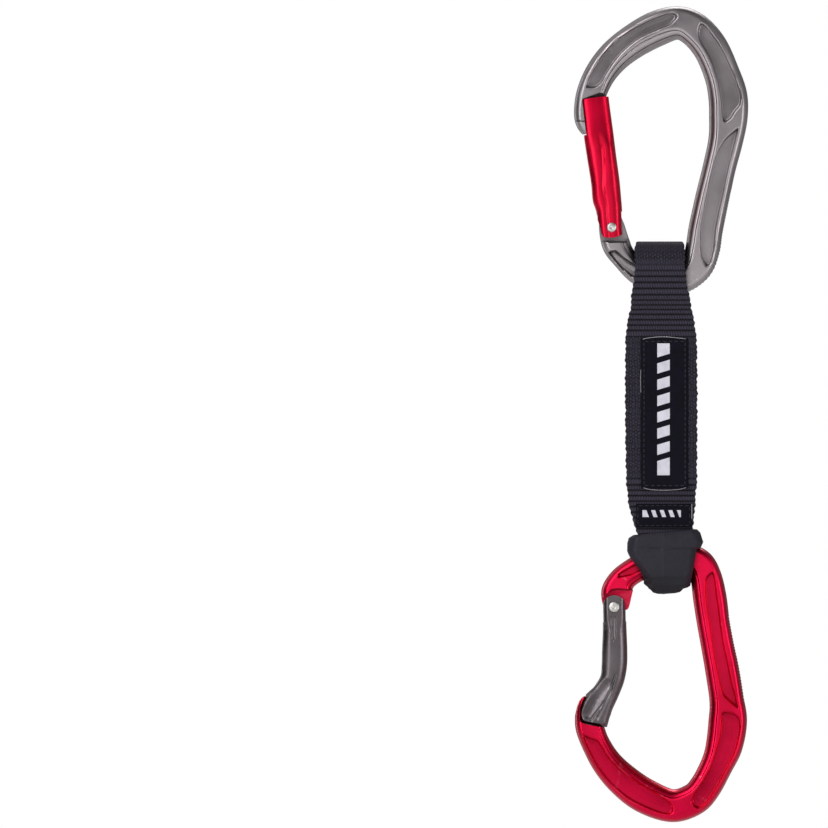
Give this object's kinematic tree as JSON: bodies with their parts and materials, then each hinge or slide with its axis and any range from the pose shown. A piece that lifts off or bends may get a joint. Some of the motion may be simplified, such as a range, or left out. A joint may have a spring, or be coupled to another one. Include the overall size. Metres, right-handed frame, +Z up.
{
  "type": "climbing quickdraw",
  "caption": "Climbing quickdraw: straight-gate and bent-gate carabiners of forged alloy, joined by a short sewn webbing sling, with a rubber keeper on the rope end.",
  "frame": {"origin": "top of the upper carabiner's basket, on its inner face, where a bolt hanger bears", "axes": "+Z up as the draw hangs, +Y towards its back, +X from the gates towards the spines"},
  "size_m": [0.0631, 0.0188, 0.2973],
  "materials": {
    "upper_body": "satin anodised, titanium grey",
    "upper_gate": "satin anodised, red",
    "rivets": "bright",
    "plungers": "ground",
    "springs": "drawn wire",
    "lower_body": "satin anodised, red",
    "lower_gate": "satin anodised, dark grey",
    "webbing": "ribbed nylon webbing, black",
    "labels": "satin woven label, black",
    "thread": "polyester sewing thread",
    "keeper": "moulded, matt dark grey"
  },
  "bodies": {
    "upper_carabiner": {"upper_body": "upper_body", "upper_rivet": "rivets", "upper_loop": "webbing"},
    "upper_gate": {"upper_gate": "upper_gate", "upper_spring": "springs"},
    "upper_plunger": {"upper_plunger": "plungers"},
    "sling_middle": {"front_strap": "webbing", "back_strap": "webbing", "overlap_strap": "webbing", "long_label": "labels", "long_label_stitching": "thread", "bar_tacks": "thread"},
    "lower_carabiner": {"lower_body": "lower_body", "lower_rivet": "rivets", "lower_loop": "webbing", "keeper": "keeper", "small_label": "labels", "small_label_stitching": "thread"},
    "lower_gate": {"lower_gate": "lower_gate", "lower_spring": "springs"},
    "lower_plunger": {"lower_plunger": "plungers"}
  },
  "joints": [
    {"name": "upper_gate_hinge", "type": "hinge", "parent": "upper_carabiner", "child": "upper_gate", "pos_m": [-0.0235, 0, -0.0686], "axis": [0, 1, 0], "range_deg": [0, 38], "stiffness_Nm_per_rad": 0.06, "springref_deg": -51.57},
    {"name": "upper_plunger_slide", "type": "slide", "parent": "upper_gate", "child": "upper_plunger", "axis": [-0.1236, 0, 0.9923], "range_m": [0, 0.0018], "deforming": ["upper_spring"]},
    {"name": "upper_sling_bend", "type": "hinge", "parent": "upper_carabiner", "child": "sling_middle", "pos_m": [-0.0056, 0, -0.102], "axis": [1, 0, 0], "range_deg": [-60, 60]},
    {"name": "lower_sling_bend", "type": "hinge", "parent": "sling_middle", "child": "lower_carabiner", "pos_m": [-0.0053, 0, -0.1665], "axis": [1, 0, 0], "range_deg": [-60, 60]},
    {"name": "lower_gate_hinge", "type": "hinge", "parent": "lower_carabiner", "child": "lower_gate", "pos_m": [-0.0226, 0, -0.2071], "axis": [0, -1, 0], "range_deg": [0, 36], "stiffness_Nm_per_rad": 0.06, "springref_deg": -51.57},
    {"name": "lower_plunger_slide", "type": "slide", "parent": "lower_gate", "child": "lower_plunger", "axis": [0, 0, -1], "range_m": [0, 0.0018], "deforming": ["lower_spring"]}
  ],
  "couplings": [
    {"joint": "upper_plunger_slide", "follows": "upper_gate_hinge", "m_per_rad": 0.00225},
    {"joint": "lower_plunger_slide", "follows": "lower_gate_hinge", "m_per_rad": 0.00225}
  ]
}
